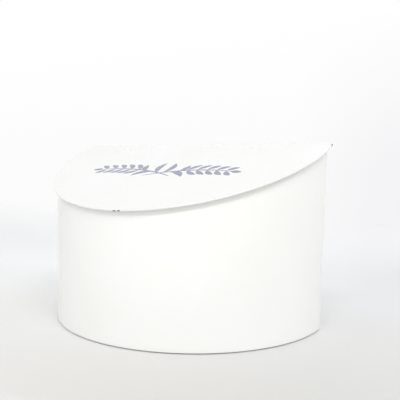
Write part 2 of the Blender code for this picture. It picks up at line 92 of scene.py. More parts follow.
# %% Name the sizes
WIDTH = 0.400
RIM_BACK_HEIGHT = 0.2511
SLOPE = math.radians(23.3)
OVERHANG = 0.0048
SHEET = 0.0006
GAP = 0.0003
WALL_CORNER = 0.006
WALL_RETURN = 0.014
LID_CORNER = 0.005
WIRE_RADIUS = 0.0006
ROLL_TURN = math.radians(270)
ROLL_MIDDLE = WIRE_RADIUS + GAP + SHEET / 2
ROLL_OUTER = ROLL_MIDDLE + SHEET / 2
STANDING_GAP = 0.0012
KNUCKLE_RADIUS = 0.0024
LEAF_THICKNESS = 0.0009
FOLD_DEPTH = 0.0037
COS, SIN = math.cos(SLOPE), math.sin(SLOPE)
SETBACK = 2 * GAP + SHEET + KNUCKLE_RADIUS
LID_UNDERSIDE = KNUCKLE_RADIUS + GAP
LID_TOP = LID_UNDERSIDE + SHEET
FOLD_TIP = LID_UNDERSIDE - FOLD_DEPTH
BACK_Y = (WIDTH / 2 + OVERHANG - SETBACK - LID_TOP * COS + FOLD_TIP * SIN) / 2
AXIS_Y = BACK_Y + SETBACK
AXIS_Z = RIM_BACK_HEIGHT - (LID_UNDERSIDE - SETBACK * SIN) / COS
print("back plane at y =", round(BACK_Y, 5), "hinge axis at", round(AXIS_Y, 5), round(AXIS_Z, 5))

# %% [markdown]
# ## Helpers for grids
#
# A surface is an array of points with rows and columns. One function names the corners of every quad of such
# a grid in one go, two others fill a flat outline with rings and lift flat points to their heights. Another
# turns points and quads into a finished piece: it closes seams and poles by merging what coincides, makes the
# faces point outwards and hangs the piece on its moving body.


# %% Make a grid's faces, its rings and its heights
def grid_faces(rows, columns, wrap=False):
    """Corner numbers of the quads between neighbouring points; wrap joins the last row to the first."""
    index = np.arange(rows * columns).reshape(rows, columns)
    if wrap:
        index = np.vstack([index, index[:1]])
    corners = (index[:-1, :-1], index[1:, :-1], index[1:, 1:], index[:-1, 1:])
    return np.stack(corners, axis=-1).reshape(-1, 4)


def rings(path, centre, shares):
    """Grid of points centre + share * (path - centre): rings that shrink from the path to the centre."""
    return centre + (path[:, None, :] - centre) * np.asarray(shares)[None, :, None]


def raised(plan, height):
    """Points in plan, each with its height for a third coordinate."""
    height = np.broadcast_to(height, plan.shape[:-1])
    return np.concatenate([plan, height[..., None]], axis=-1)


# %% Turn points and faces into a clean mesh
SAME_POINT = 0.000005
SHORTEST_EDGE = 0.000001


def clean_mesh(name, points, faces):
    """A mesh of the points and quads, without doubled points or empty faces, and with its faces outwards."""
    mesh = bpy.data.meshes.new(name)
    mesh.from_pydata(np.asarray(points).reshape(-1, 3).tolist(), [], np.asarray(faces).tolist())
    shape = bmesh.new()
    shape.from_mesh(mesh)
    bmesh.ops.remove_doubles(shape, verts=shape.verts, dist=SAME_POINT)
    bmesh.ops.dissolve_degenerate(shape, edges=shape.edges, dist=SHORTEST_EDGE)
    bmesh.ops.recalc_face_normals(shape, faces=shape.faces)
    shape.to_mesh(mesh)
    shape.free()
    mesh.shade_smooth()
    return mesh


# %% Give a piece its thickness and soft edges
SHARP = math.radians(50)
SHEET_EDGE = 0.0002
HOLE_EDGE = 0.00015
THIN_EDGE = 0.00012


def thicken(piece, thickness):
    """Make a sheet thick, by half on each side of its points."""
    solidify = piece.modifiers.new("sheet", "SOLIDIFY")
    solidify.thickness = thickness
    solidify.offset = 0
    solidify.use_even_offset = True


def soften(piece, width):
    """Round the edges at which a piece's faces turn by more than the sharp angle."""
    bevel = piece.modifiers.new("soft edge", "BEVEL")
    bevel.width = width
    bevel.segments = 3
    bevel.limit_method = "ANGLE"
    bevel.angle_limit = SHARP


# %% Make a piece and hang it on its body
def add_object(data):
    """A new object in the scene that shows a mesh, a lamp or a camera and has its name."""
    made = bpy.data.objects.new(data.name, data)
    bpy.context.scene.collection.objects.link(made)
    return made


def add_piece(name, points, faces, material, body, node, slot, shell=None, soft_edge=None):
    """A finished piece from points and quads; node is the plain solid that it stands for, or None."""
    mesh = clean_mesh(name, points, faces)
    mesh.materials.append(material)
    piece = add_object(mesh)
    if shell:
        thicken(piece, shell)
    if soft_edge:
        soften(piece, soft_edge)
    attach(piece, body)
    if node:
        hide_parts(node)
    print(name, len(mesh.vertices), "points,", len(mesh.polygons), "faces")


def add_surface(name, grid, material, body, node, slot, wrap=False, **finish):
    """A piece that is one whole grid of points."""
    faces = grid_faces(*grid.shape[:2], wrap=wrap)
    add_piece(name, grid, faces, material, body, node, slot, **finish)


# %% [markdown]
# ## Helpers for materials
#
# Materials are built from shader nodes. The first helper adds one node, sets its settings and fills its
# inputs, either with a number or colour or with the output of another node. The others are short names for
# the four kinds of node that this scene uses most.


# %% Add a shader node
def add_node(tree, kind, inputs=None, **settings):
    """Add a node of a kind; inputs maps a socket's name or number to a value or to another node's output."""
    made = tree.nodes.new(kind)
    for key, value in settings.items():
        setattr(made, key, value)
    for key, value in (inputs or {}).items():
        if isinstance(value, bpy.types.NodeSocket):
            tree.links.new(value, made.inputs[key])
        else:
            made.inputs[key].default_value = value
    return made


def add_math(tree, operation, first, second=0.0):
    """The output of a Math node on two inputs."""
    return add_node(tree, "ShaderNodeMath", {0: first, 1: second}, operation=operation).outputs[0]


def add_range(tree, value, low, high, to_low=0.0, to_high=1.0):
    """The output of a Map Range node, which never leaves its target range."""
    inputs = {"Value": value, "From Min": low, "From Max": high, "To Min": to_low, "To Max": to_high}
    return add_node(tree, "ShaderNodeMapRange", inputs, clamp=True).outputs["Result"]


def add_mix(tree, factor, first, second):
    """The output of a colour mix; 0, 6 and 7 are the numbers of its factor and its two colours."""
    return add_node(tree, "ShaderNodeMix", {0: factor, 6: first, 7: second}, data_type="RGBA").outputs[2]


def noise(tree, point, scale, detail=3.0, roughness=0.5):
    """A noise value from 0 to 1 at a point, with about scale bumps to the metre."""
    inputs = {"Vector": point, "Scale": scale, "Detail": detail, "Roughness": roughness}
    return add_node(tree, "ShaderNodeTexNoise", inputs).outputs["Fac"]


# %% [markdown]
# ## Effects that several finishes share
#
# Fired enamel is never quite even: it has a fine orange peel and long, low waves from the sheet underneath.
# Use leaves rubbed patches and hairlines, and knocks chip the glass off down to the dark ground coat. Each
# effect is a group with named sockets, made once, so that every material can use it with its own numbers.


# %% Make and place a node group with named sockets
VECTOR, FLOAT = "NodeSocketVector", "NodeSocketFloat"


def new_group(name, inputs):
    """A shader group and its inputs, for which inputs has each one's kind and its start value or None."""
    group = bpy.data.node_groups.new(name, "ShaderNodeTree")
    for label, (kind, start) in inputs.items():
        socket = group.interface.new_socket(label, in_out="INPUT", socket_type=kind)
        if start is not None:
            socket.default_value = start
    return group, group.nodes.new("NodeGroupInput").outputs


def put_out(group, **outputs):
    """Give a group its outputs, each a number that changes over the surface, and link them."""
    for label in outputs:
        group.interface.new_socket(label, in_out="OUTPUT", socket_type=FLOAT)
    target = group.nodes.new("NodeGroupOutput")
    for label, value in outputs.items():
        group.links.new(value, target.inputs[label])
    print(group.name, "puts out", list(outputs))


def place_group(tree, group, **inputs):
    """The outputs of a group that is placed in a material with this material's values."""
    return add_node(tree, "ShaderNodeGroup", inputs, node_tree=group).outputs


# %% Group: the uneven surface of fired enamel
PEEL_BUMPS, WAVE_BUMPS, CLOUD_BUMPS = 420.0, 22.0, 9.0
CLOUD_LIMITS = (0.35, 0.65)
peel_group, source = new_group(
    "fired_enamel_surface", {"Point": (VECTOR, None), "Peel": (FLOAT, 0.12), "Wave": (FLOAT, 1.0)}
)
point = source["Point"]
peel = add_math(peel_group, "MULTIPLY", noise(peel_group, point, PEEL_BUMPS, 2.0), source["Peel"])
wave = add_math(peel_group, "MULTIPLY", noise(peel_group, point, WAVE_BUMPS, 1.0), source["Wave"])
cloud = add_range(peel_group, noise(peel_group, point, CLOUD_BUMPS, 4.0, 0.6), *CLOUD_LIMITS)
put_out(peel_group, Height=add_math(peel_group, "ADD", peel, wave), Cloud=cloud)

# %% Group: rubbed patches and hairlines from use
PATCHES, PATCH_LIMITS = 26.0, (0.52, 0.72)
HAIRLINE_TURN, HAIRLINE_STRETCH = (0.3, 0.2, 0.9), (900.0, 24.0, 300.0)
HAIRLINE_LIMITS = (0.70, 0.78)
rub_group, source = new_group("rubbed_by_use", {"Point": (VECTOR, None), "Amount": (FLOAT, 0.5)})
point, amount = source["Point"], source["Amount"]
patches = add_range(rub_group, noise(rub_group, point, PATCHES, 5.0, 0.6), *PATCH_LIMITS)
rubbed = add_math(rub_group, "MULTIPLY", patches, amount)
inputs = {"Vector": point, "Rotation": HAIRLINE_TURN, "Scale": HAIRLINE_STRETCH}
stretched = add_node(rub_group, "ShaderNodeMapping", inputs).outputs["Vector"]
lines = add_range(rub_group, noise(rub_group, stretched, 1.0, 1.0), *HAIRLINE_LIMITS)
lines = add_math(rub_group, "MULTIPLY", lines, patches)
put_out(rub_group, Rubbed=rubbed, Hairlines=add_math(rub_group, "MULTIPLY", lines, amount))

# %% Group: one chip with a ragged edge
RAGGED_BUMPS, RAGGED_LIMITS, RAGGED_SHARE = 900.0, (0.3, 0.7), 0.35
BREAK_LIMITS = (0.9, 1.05)
chip_group, source = new_group(
    "chipped_glass",
    {
        "Point": (VECTOR, None),
        "Place": (VECTOR, None),
        "Radius": (FLOAT, 0.002),
        "Squeeze": (VECTOR, (1.0, 1.0, 1.0)),
    },
)


def chip_vector(operation, first, second=None):
    """The Vector Math node of an operation in the chip's group, on one input or two."""
    inputs = {0: first} if second is None else {0: first, 1: second}
    return add_node(chip_group, "ShaderNodeVectorMath", inputs, operation=operation).outputs


away = chip_vector("SUBTRACT", source["Point"], source["Place"])["Vector"]
away = chip_vector("MULTIPLY", away, source["Squeeze"])["Vector"]
away = add_math(chip_group, "DIVIDE", chip_vector("LENGTH", away)["Value"], source["Radius"])
ragged = noise(chip_group, source["Point"], RAGGED_BUMPS)
ragged = add_range(chip_group, ragged, *RAGGED_LIMITS, -RAGGED_SHARE, RAGGED_SHARE)
away = add_math(chip_group, "ADD", away, ragged)
put_out(chip_group, Chip=add_range(chip_group, away, *BREAK_LIMITS, 1.0, 0.0))

# %% [markdown]
# ## The finishes
#
# White enamel is a glossy glass over a warm white ground. The Principled shader's base colour gives the
# glass, and the bump gives the peel. Each chip has a place, a radius and a squeeze: a squeeze of a third
# along an axis makes the chip three times as long there. A chip shows the dark ground coat with a little rust
# in it and lies slightly lower than the glass round it.


# %% Start and finish a material
def start_material(name, colour):
    """A new material with its node tree, its Principled shader and the surface's point in metres."""
    material = bpy.data.materials.new(name)
    material.use_nodes = True
    material.diffuse_color = (*colour, 1)
    tree = material.node_tree
    point = add_node(tree, "ShaderNodeTexCoord").outputs["Object"]
    return material, tree, tree.nodes["Principled BSDF"], point


def finish_surface(tree, shader, tone, roughness, height, strength, depth):
    """Link colour and roughness to the shader, and a bump whose full height is depth metres."""
    bump = add_node(tree, "ShaderNodeBump", {"Height": height, "Strength": strength, "Distance": depth})
    tree.links.new(tone, shader.inputs["Base Color"])
    tree.links.new(roughness, shader.inputs["Roughness"])
    tree.links.new(bump.outputs["Normal"], shader.inputs["Normal"])


def shade(colour, share):
    """Red, green and blue, each times its share, and a full alpha."""
    return (*(np.asarray(colour) * share).tolist(), 1)


# %% White enamel with its chips
WARM_CLOUD = (0.985, 0.98, 0.965)
HAIRLINE_SHADE = 0.93
FRESH_ROUGHNESS, RUBBED_ROUGHNESS, CHIP_ROUGHNESS = 0.10, 0.34, 0.55
GROUND_COAT, RUST = (0.035, 0.035, 0.045, 1), (0.10, 0.055, 0.035, 1)
RUST_BUMPS, RUST_LIMITS = 1300.0, (0.45, 0.7)


def add_chip(tree, point, chip, tone, roughness, height):
    """Lay one chip over an enamel's colour, roughness and height."""
    place, radius, squeeze = chip
    mask = place_group(tree, chip_group, Point=point, Place=place, Radius=radius, Squeeze=squeeze)["Chip"]
    rust = add_range(tree, noise(tree, point, RUST_BUMPS), *RUST_LIMITS)
    tone = add_mix(tree, mask, tone, add_mix(tree, rust, GROUND_COAT, RUST))
    dull = add_math(tree, "MULTIPLY", mask, CHIP_ROUGHNESS)
    roughness = add_math(tree, "MAXIMUM", roughness, dull)
    return tone, roughness, add_math(tree, "SUBTRACT", height, mask)


def enamel(name, colour, chips=(), rub=0.35):
    """Glass enamel of one colour, with its chips and the share of it that use has rubbed."""
    material, tree, shader, point = start_material(name, colour)
    surface = place_group(tree, peel_group, Point=point)
    rubs = place_group(tree, rub_group, Point=point, Amount=rub)
    tone = add_mix(tree, surface["Cloud"], shade(colour, WARM_CLOUD), shade(colour, 1))
    tone = add_mix(tree, rubs["Hairlines"], tone, shade(colour, HAIRLINE_SHADE))
    roughness = add_range(tree, rubs["Rubbed"], 0.0, 1.0, FRESH_ROUGHNESS, RUBBED_ROUGHNESS)
    height = surface["Height"]
    for chip in chips:
        tone, roughness, height = add_chip(tree, point, chip, tone, roughness, height)
    finish_surface(tree, shader, tone, roughness, height, strength=0.5, depth=0.0002)
    shader.inputs["IOR"].default_value = 1.5
    return material


# %% Plated steel and drawn wire
MARK_SHADE, MARK_LIMITS = 0.72, (0.3, 0.7)
BRIGHT_STEEL = (0.55, 0.53, 0.50, 1)


def metal(name, colour, low_roughness, high_roughness, grain):
    """Bare or plated steel: grain gives how many fine marks there are to the metre along each axis."""
    material, tree, shader, point = start_material(name, colour)
    rubbed = place_group(tree, rub_group, Point=point, Amount=1.0)["Rubbed"]
    drawn = add_node(tree, "ShaderNodeMapping", {"Vector": point, "Scale": grain}).outputs["Vector"]
    marks = noise(tree, drawn, 1.0, 4.0)
    tone = add_mix(tree, marks, shade(colour, MARK_SHADE), shade(colour, 1))
    tone = add_mix(tree, rubbed, tone, BRIGHT_STEEL)
    roughness = add_range(tree, marks, *MARK_LIMITS, low_roughness, high_roughness)
    finish_surface(tree, shader, tone, roughness, marks, strength=0.4, depth=0.00005)
    shader.inputs["Metallic"].default_value = 1.0
    return material


# %% Matt rubber
GRAIN_BUMPS, BLOOM_BUMPS, BLOOM_SHADE = 1800.0, 160.0, 1.5
BLOOM_LIMITS, RUBBER_ROUGHNESS = (0.4, 0.7), (0.6, 0.85)


def soft_rubber(name, colour):
    """Matt rubber with a moulded grain and a dusty bloom."""
    material, tree, shader, point = start_material(name, colour)
    grain = noise(tree, point, GRAIN_BUMPS)
    bloom = add_range(tree, noise(tree, point, BLOOM_BUMPS, 4.0), *BLOOM_LIMITS)
    tone = add_mix(tree, bloom, shade(colour, 1), shade(colour, BLOOM_SHADE))
    roughness = add_range(tree, bloom, 0.0, 1.0, *RUBBER_ROUGHNESS)
    finish_surface(tree, shader, tone, roughness, grain, strength=0.6, depth=0.0001)
    return material


# %% [markdown]
# ## Places on the lid
#
# The lid is laid out in its own plane: x across, v up the slope from the hinge axis and w out of the plane.
# One function turns such points into the bin's frame. The chips are placed with it: two small ones at the
# front of the edge and a larger one at its right rear corner.


# %% Go from the lid's plane to the bin's frame
def on_lid(x, v, w):
    """The point axis + v * (0, cos slope, sin slope) + w * (0, -sin slope, cos slope), x unchanged."""
    x, v, w = np.broadcast_arrays(x, v, w)
    return np.stack([x, AXIS_Y + v * COS - w * SIN, AXIS_Z + v * SIN + w * COS], axis=-1)


CHIPS = (
    (on_lid(0.0082, -0.2258, 0.0018).tolist(), 0.0007, (0.30, 1.0, 1.0)),
    (on_lid(0.0142, -0.2255, 0.0020).tolist(), 0.0007, (0.36, 1.0, 1.0)),
    (on_lid(0.2048, -0.0036, -0.0002).tolist(), 0.0036, (1.0, 1.0, 1.0)),
)
print("chips at", [[round(value, 3) for value in place] for place, radius, squeeze in CHIPS])

# %% Mix the finishes
BODY_WHITE = (0.92, 0.92, 0.905)
# Painted shade: the lid's white is set darker than the body's, though both are the same enamel, so that the
# lid, which faces the light from above, comes out no brighter than the wall
LID_WHITE_PAINTED_DARKER = (0.805, 0.805, 0.798)
body_enamel = enamel("body_enamel", BODY_WHITE)
lid_enamel = enamel("lid_enamel", LID_WHITE_PAINTED_DARKER, CHIPS)
zinc = metal("zinc_plate", (0.72, 0.72, 0.70), 0.22, 0.42, grain=(900.0, 900.0, 900.0))
wire_steel = metal("drawn_wire", (0.45, 0.45, 0.44), 0.32, 0.5, grain=(200.0, 2500.0, 2500.0))
rubber = soft_rubber("grey_rubber", (0.16, 0.16, 0.16))
print("finishes:", [material.name for material in (body_enamel, lid_enamel, zinc, wire_steel, rubber)])

# %% [markdown]
# ## The wall
#
# The wall is one strip, bent round a half circle with two tight rear corners. Its section is the same all
# the way: a foot turned in, an upright face and a rim rolled inwards over a wire. Only the rim's height
# changes, because it follows the sloping lid. So the wall is a section carried along a path, and each point
# of the section knows how much of the rim's height it takes on.


# %% Lay out arcs
def arc(centre, radius, start, end, steps):
    """Points centre + radius * (cos a, sin a) from a = start to a = end, with their outward directions."""
    angle = np.linspace(start, end, steps + 1)
    outward = np.stack([np.cos(angle), np.sin(angle)], axis=1)
    return np.asarray(centre) + radius * outward, outward


def join(*runs):
    """Runs of points and directions, one after the other, without the point that two runs share."""
    points = np.vstack([runs[0][0]] + [run[0][1:] for run in runs[1:]])
    outward = np.vstack([runs[0][1]] + [run[1][1:] for run in runs[1:]])
    return points, outward


# %% Lay out the body in plan
CORNER_STEPS = 12
FRONT_STEPS = 180
BEND_STEPS = 8
ROLL_STEPS = 24


def body_path():
    """The wall's outer face in plan: rear corner, half circle, rear corner, each an arc tangent to the next.
    The arcs meet at the angle whose sine is the corner's radius over the distance of the two centres."""
    radius = WIDTH / 2
    meet = math.asin(WALL_CORNER / (radius - WALL_CORNER))
    corner_x = (radius - WALL_CORNER) * math.cos(meet)
    corner_y = BACK_Y - WALL_CORNER
    right = arc((corner_x, corner_y), WALL_CORNER, math.pi / 2, -meet, CORNER_STEPS)
    front = arc((0, BACK_Y), radius, -meet, meet - math.pi, FRONT_STEPS)
    left = arc((-corner_x, corner_y), WALL_CORNER, meet - math.pi, -1.5 * math.pi, CORNER_STEPS)
    return join(right, front, left)


def wall_path():
    """The body path with the two flanges that turn onto the back."""
    points, outward = body_path()
    right = points[:1] + np.array([[-WALL_RETURN, 0], [-WALL_RETURN / 2, 0]])
    left = points[-1:] + np.array([[WALL_RETURN / 2, 0], [WALL_RETURN, 0]])
    points = np.vstack([right, points, left])
    outward = np.vstack([outward[:1], outward[:1], outward, outward[-1:], outward[-1:]])
    return points, outward


def rim_height(y):
    """Height of the middle of the wall's rolled rim: the lid's sloping underside, less a roll and a gap."""
    return RIM_BACK_HEIGHT + (y - BACK_Y) * SIN / COS - (ROLL_OUTER + GAP) / COS


# %% Lay out the wall's section
FOOT_FLANGE = 0.005
FOOT_BEND = 0.0012
FLANGE_HEIGHT = STANDING_GAP + SHEET / 2
RIM_SHARES = np.array([0.02, 0.1, 0.3, 0.5, 0.7, 0.9, 0.98])


def wall_section():
    """Offset from the outer face, own height and share of the rim's height, for each point of the section.
    A point stands at its own height plus its share of the rim's."""
    bend_middle = (-SHEET / 2 - FOOT_BEND, FLANGE_HEIGHT + FOOT_BEND)
    foot, _ = arc(bend_middle, FOOT_BEND, -math.pi / 2, 0, BEND_STEPS)
    flange = np.array([[-FOOT_FLANGE, FLANGE_HEIGHT], [-FOOT_FLANGE * 0.6, FLANGE_HEIGHT]])
    low = np.vstack([flange, foot])
    upright_offset = np.full(len(RIM_SHARES), -SHEET / 2)
    upright = np.stack([upright_offset, foot[-1, 1] * (1 - RIM_SHARES)], axis=1)
    roll, _ = arc((-SHEET / 2 - ROLL_MIDDLE, 0), ROLL_MIDDLE, 0, ROLL_TURN, ROLL_STEPS)
    section = np.vstack([low, upright, roll])
    follow = np.concatenate([np.zeros(len(low)), RIM_SHARES, np.ones(len(roll))])
    return section[:, 0], section[:, 1], follow


# %% Make the wall
path, outward = wall_path()
offset, own_height, follow = wall_section()
plan = path[:, None, :] + outward[:, None, :] * offset[None, :, None]
roll_place = path - outward * (SHEET / 2 + ROLL_MIDDLE)
height = own_height[None, :] + rim_height(roll_place[:, 1])[:, None] * follow[None, :]
wall = raised(plan, height)
SHEET_METAL = {"shell": SHEET, "soft_edge": SHEET_EDGE}
add_surface("enamel_wall", wall, body_enamel, "bin", "front_wall", "body_enamel", **SHEET_METAL)

# %% [markdown]
# ## The wires in the rolled edges
#
# A wire is a small circle carried along a path. The circle stands across the path, on the level direction
# that is square to it and on the one that is square to both.


# %% Carry a circle along a path
def unit(vectors):
    """The vectors, each made one long."""
    return vectors / np.linalg.norm(vectors, axis=-1, keepdims=True)


def tube(points, radius, sides=16):
    """Grid of points path + radius * (cos a * across + sin a * upwards), its ends drawn in to a point."""
    along = unit(np.gradient(points, axis=0))
    across = unit(np.cross(along, [0.0, 0.0, 1.0]))
    upwards = np.cross(across, along)
    angle = np.linspace(0, 2 * np.pi, sides + 1)[None, :, None]
    ring = np.cos(angle) * across[:, None, :] + np.sin(angle) * upwards[:, None, :]
    surface = points[:, None, :] + radius * ring
    first = np.repeat(points[:1, None, :], sides + 1, axis=1)
    last = np.repeat(points[-1:, None, :], sides + 1, axis=1)
    return np.concatenate([first, surface, last])


# %% Make the wire in the wall's rim
wall_wire = tube(raised(roll_place, rim_height(roll_place[:, 1])), WIRE_RADIUS)
add_surface("rim_wire_of_wall", wall_wire, wire_steel, "bin", "wall_rim_wire", "wire_steel")

# %% [markdown]
# ## The lid
#
# The lid is one flat sheet. Round the front its edge is rolled under, over a wire; along the back it is
# only folded down. At the rear corners the roll opens out, station by station, into the fold. The flat part
# is filled with rings that shrink towards one point, so that the whole lid is a single grid.

# %% Lay out the lid's edge
ROLL_LIP = 0.0002
ROLL_LEVEL = LID_TOP - ROLL_OUTER
CURVE_STATIONS = 181
BACK_STATIONS = 30


def lid_path():
    """The path of the roll's middle in the lid's plane, its outward directions, and the share of each station
    that is opened out: a half ellipse (a circle seen square to the slope), two corner arcs and the back."""
    across = WIDTH / 2 + OVERHANG - ROLL_OUTER
    along = across / COS
    middle = (ROLL_LEVEL * SIN - SETBACK) / COS
    angle = np.linspace(0, math.pi, CURVE_STATIONS)
    curve = np.stack([across * np.cos(angle), middle - along * np.sin(angle)], axis=1)
    curve_out = unit(np.stack([along * np.cos(angle), -across * np.sin(angle)], axis=1))
    radius = LID_CORNER - ROLL_OUTER
    corner_x, corner_v = across - radius, ROLL_LEVEL - radius
    left, left_out = arc((-corner_x, corner_v), radius, math.pi, math.pi / 2, CORNER_STEPS)
    right, right_out = arc((corner_x, corner_v), radius, math.pi / 2, 0, CORNER_STEPS)
    back_share = np.linspace(0, 1, BACK_STATIONS + 2)[1:-1, None]
    back = left[-1] + (right[0] - left[-1]) * back_share
    back_out = np.tile([0.0, 1.0], (BACK_STATIONS, 1))
    opening = np.linspace(0, 1, CORNER_STEPS + 1)
    share = [np.zeros(CURVE_STATIONS), opening, np.ones(BACK_STATIONS), opening[::-1]]
    directions = np.vstack([curve_out, left_out, back_out, right_out])
    return np.vstack([curve, left, back, right]), directions, np.concatenate(share)


edge, edge_out, opened = lid_path()
print("lid edge:", len(edge), "stations,", round(float(np.ptp(edge[:, 0])), 4), "m across")

# %% Roll the lid's edge
rolled = ROLL_TURN + (math.pi / 2 - ROLL_TURN) * opened
lip = ROLL_LIP + (ROLL_LEVEL - FOLD_TIP - ROLL_LIP) * opened
angle = math.pi / 2 - rolled[:, None] * np.linspace(0, 1, ROLL_STEPS + 1)[None, :]
roll_offset = ROLL_MIDDLE * np.cos(angle)
roll_height = ROLL_LEVEL + ROLL_MIDDLE * np.sin(angle)
lip_offset = roll_offset[:, -1] + lip * np.sin(angle[:, -1])
lip_height = roll_height[:, -1] - lip * np.cos(angle[:, -1])
edge_level = np.column_stack([roll_height, lip_height])
edge_offset = np.column_stack([roll_offset, lip_offset])
edge_plan = edge[:, None, :] + edge_out[:, None, :] * edge_offset[..., None]
print("lid edge turned by", np.degrees([rolled.max(), rolled.min()]).round(), "degrees, front and back")

# %% Fill the lid's flat part and make the lid
LID_CENTRE = np.array([0.0, -0.090])
RING_SHARES = (0.0, 0.12, 0.25, 0.4, 0.55, 0.7, 0.82, 0.91, 0.96, 0.985, 0.995)
flat_plan = rings(edge, LID_CENTRE, RING_SHARES)
flat_level = np.full(flat_plan.shape[:2], ROLL_LEVEL + ROLL_MIDDLE)
plan = np.concatenate([flat_plan, edge_plan], axis=1)
level = np.concatenate([flat_level, edge_level], axis=1)
lid = on_lid(plan[..., 0], plan[..., 1], level)
add_surface(
    "enamel_lid", lid, lid_enamel, "lid", "lid_panel", "lid_enamel", wrap=True, **SHEET_METAL
)

# %% Make the wire in the lid's edge
wire_path = edge[:CURVE_STATIONS]
lid_wire = tube(on_lid(wire_path[:, 0], wire_path[:, 1], ROLL_LEVEL), WIRE_RADIUS)
add_surface("rim_wire_of_lid", lid_wire, wire_steel, "lid", "lid_rim_wire", "wire_steel")

# %% [markdown]
# ## The base pan
#
# The floor of the bin is a shallow pan: flat, with its edge turned down onto the wall's foot. It is a grid of
# rings like the lid.

# %% Make the base pan
PAN_FLOOR = 0.009
PAN_BEND = 0.002
PAN_INSET = SHEET + GAP + SHEET / 2
PAN_CENTRE = np.array([0.0, BACK_Y - 0.080])
pan_path, pan_out = body_path()
bend_middle = (-PAN_BEND, PAN_FLOOR - SHEET / 2 - PAN_BEND)
bend, _ = arc(bend_middle, PAN_BEND, math.pi / 2, 0, BEND_STEPS)
section = np.vstack([bend, [[0, STANDING_GAP + SHEET + GAP]]])
pan_edge = pan_path[:, None, :] + pan_out[:, None, :] * (section[:, 0] - PAN_INSET)[None, :, None]
plan = np.concatenate([rings(pan_edge[:, 0], PAN_CENTRE, RING_SHARES), pan_edge], axis=1)
pan = raised(plan, np.concatenate([np.full(len(RING_SHARES), section[0, 1]), section[:, 1]]))
add_surface(
    "enamel_pan", pan, body_enamel, "bin", "base_pan", "body_enamel", wrap=True, **SHEET_METAL
)

# %% [markdown]
# ## The back panel
#
# The back is a flat sheet with a hemmed top and a row of round air holes. The sheet is an even grid, in which
# a square of quads is left out round each hole. A ring of quads fills each square: it runs from the square's
# edge to the hole's circle, so that the hole is truly round. The hem is narrower than the sheet, because the
# wall's flanges stand beside it.

# %% Name the panel's places
VENT_RADIUS = 0.0025
VENT_PITCH = 0.014
VENT_COUNT = 9
VENT_CELLS = 8
VENT_BELOW_RIM = 0.045
HALF_CELLS = VENT_CELLS // 2
EVEN_CELLS = 102
HEM_DEPTH = 0.008
HEM_RADIUS = (SHEET + GAP) / 2
cell = VENT_PITCH / VENT_CELLS
half_square = HALF_CELLS * cell
panel_y = BACK_Y + GAP + SHEET / 2
panel_half = float(pan_path[0, 0])
hem_half = panel_half - WALL_RETURN - GAP
vent_z = RIM_BACK_HEIGHT - VENT_BELOW_RIM
vent_x = (np.arange(VENT_COUNT) - (VENT_COUNT - 1) / 2) * VENT_PITCH
hem_setback = SETBACK - GAP - SHEET / 2 + HEM_RADIUS
hem_level = KNUCKLE_RADIUS - LEAF_THICKNESS - GAP - HEM_RADIUS - SHEET / 2
hem_y = AXIS_Y - hem_setback
hem_z = AXIS_Z + (hem_level - hem_setback * SIN) / COS
print("air holes every", VENT_PITCH, "m at z =", round(vent_z, 4), "and the hem at z =", round(hem_z, 4))

# %% Lay out the panel's sheet
inner_x = np.arange(-EVEN_CELLS, EVEN_CELLS + 1) * cell
side_x = np.linspace(inner_x[-1], hem_half, 3)[1:]
column_x = np.concatenate([[-panel_half], -side_x[::-1], inner_x, side_x, [panel_half]])
low_z = np.linspace(STANDING_GAP, vent_z - half_square, 12)
even_z = vent_z + np.arange(1 - HALF_CELLS, HALF_CELLS + 1) * cell
row_z = np.concatenate([low_z, even_z, np.linspace(vent_z + half_square, hem_z, 6)[1:]])
bend, _ = arc((hem_y, hem_z), HEM_RADIUS, 0, math.pi, CORNER_STEPS)
section_y = np.concatenate([np.full(len(row_z), panel_y), bend[1:, 0], [bend[-1, 0]]])
section_z = np.concatenate([row_z, bend[1:, 1], [bend[-1, 1] - HEM_DEPTH]])
x, y = np.meshgrid(column_x, section_y, indexing="ij")
panel_points = np.stack([x, y, np.broadcast_to(section_z, x.shape)], axis=-1)
panel_faces = grid_faces(*x.shape)
panel_points = panel_points.reshape(-1, 3)

# %% Leave out the squares of the holes and the ends of the hem
middle = panel_points[panel_faces].mean(axis=1)
near_x = np.abs(middle[:, None, 0] - vent_x[None, :]).min(axis=1) < half_square
in_vent = near_x & (np.abs(middle[:, 2] - vent_z) < half_square) & (middle[:, 1] > hem_y)
past_hem = (np.abs(middle[:, 0]) > hem_half) & (middle[:, 1] < hem_y)
panel_faces = panel_faces[~(in_vent | past_hem)]
print("back panel:", len(panel_faces), "quads,", int(in_vent.sum()), "left out for the air holes")


# %% Fill each square round its hole
def copies(faces, size, count):
    """The quads of one small grid of so many points, and of its copies that follow it in the array."""
    starts = np.arange(count)[:, None, None] * size
    return (faces[None] + starts).reshape(-1, 4)


def vent_rings():
    """Rings between a square and a circle: each point runs along share * circle + (1 - share) * square."""
    side = np.arange(-HALF_CELLS, HALF_CELLS) * cell
    far = np.full(VENT_CELLS, half_square)
    square_x, square_z = np.concatenate([side, far, -side, -far]), np.concatenate([-far, side, far, -side])
    square = np.stack([square_x, square_z], axis=1)
    angle = np.arctan2(square[:, 1], square[:, 0])
    circle = VENT_RADIUS * np.stack([np.cos(angle), np.sin(angle)], axis=1)
    share = np.array([0, 0.4, 0.7, 0.88, 1.0])[None, :, None]
    ring = square[:, None, :] * (1 - share) + circle[:, None, :] * share
    place = np.stack([vent_x, np.full(VENT_COUNT, vent_z)], axis=1)
    ring = ring[None] + place[:, None, None, :]
    points = np.stack([ring[..., 0], np.full(ring.shape[:3], panel_y), ring[..., 1]], axis=-1)
    rows, columns = points.shape[1:3]
    faces = copies(grid_faces(rows, columns, wrap=True), rows * columns, VENT_COUNT)
    return points.reshape(-1, 3), faces


def only_used(points, faces):
    """The points that the faces still name, and the faces with the new numbers of these points."""
    used = np.unique(faces)
    return points[used], np.searchsorted(used, faces)


